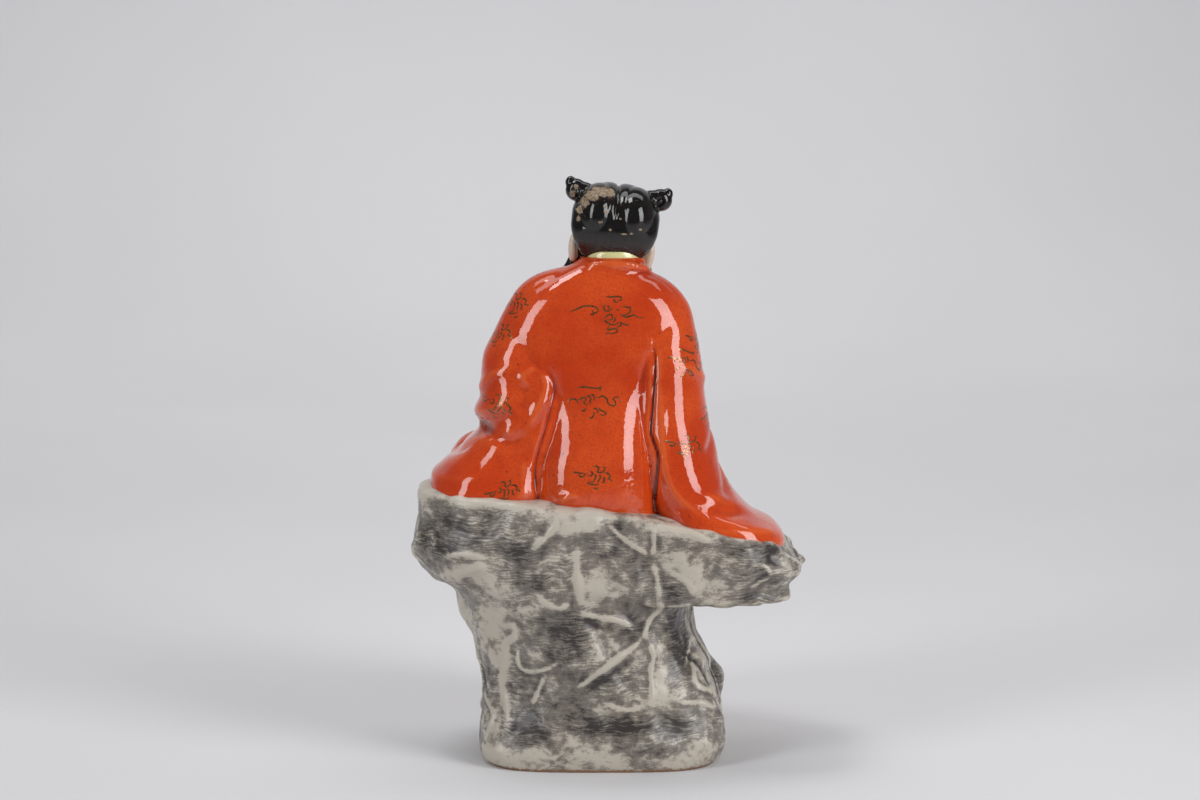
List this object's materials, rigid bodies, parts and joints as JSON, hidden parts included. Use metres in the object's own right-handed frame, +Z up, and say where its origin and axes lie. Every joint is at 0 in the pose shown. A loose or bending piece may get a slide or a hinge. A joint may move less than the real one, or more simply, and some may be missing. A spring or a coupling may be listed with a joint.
{
  "type": "seated porcelain figure",
  "caption": "Glazed porcelain figure of a bearded sage in a red robe, hair in buns, seated on a washed grey rock, fired in one piece.",
  "frame": {"origin": "middle of the rock's flat underside, between the sides of its narrow block", "axes": "+Z up from the underside, -Y the way the sage faces, +X towards the sage's left hand"},
  "size_m": [0.2201, 0.1744, 0.3212],
  "materials": {
    "glazed_porcelain": "glossy iron-red robe; the other glazes are mirror black, pale yellow, flesh white and a white rock washed in grey"
  },
  "bodies": {
    "root": {"seated_sage_on_rock": "glazed_porcelain"}
  },
  "joints": []
}
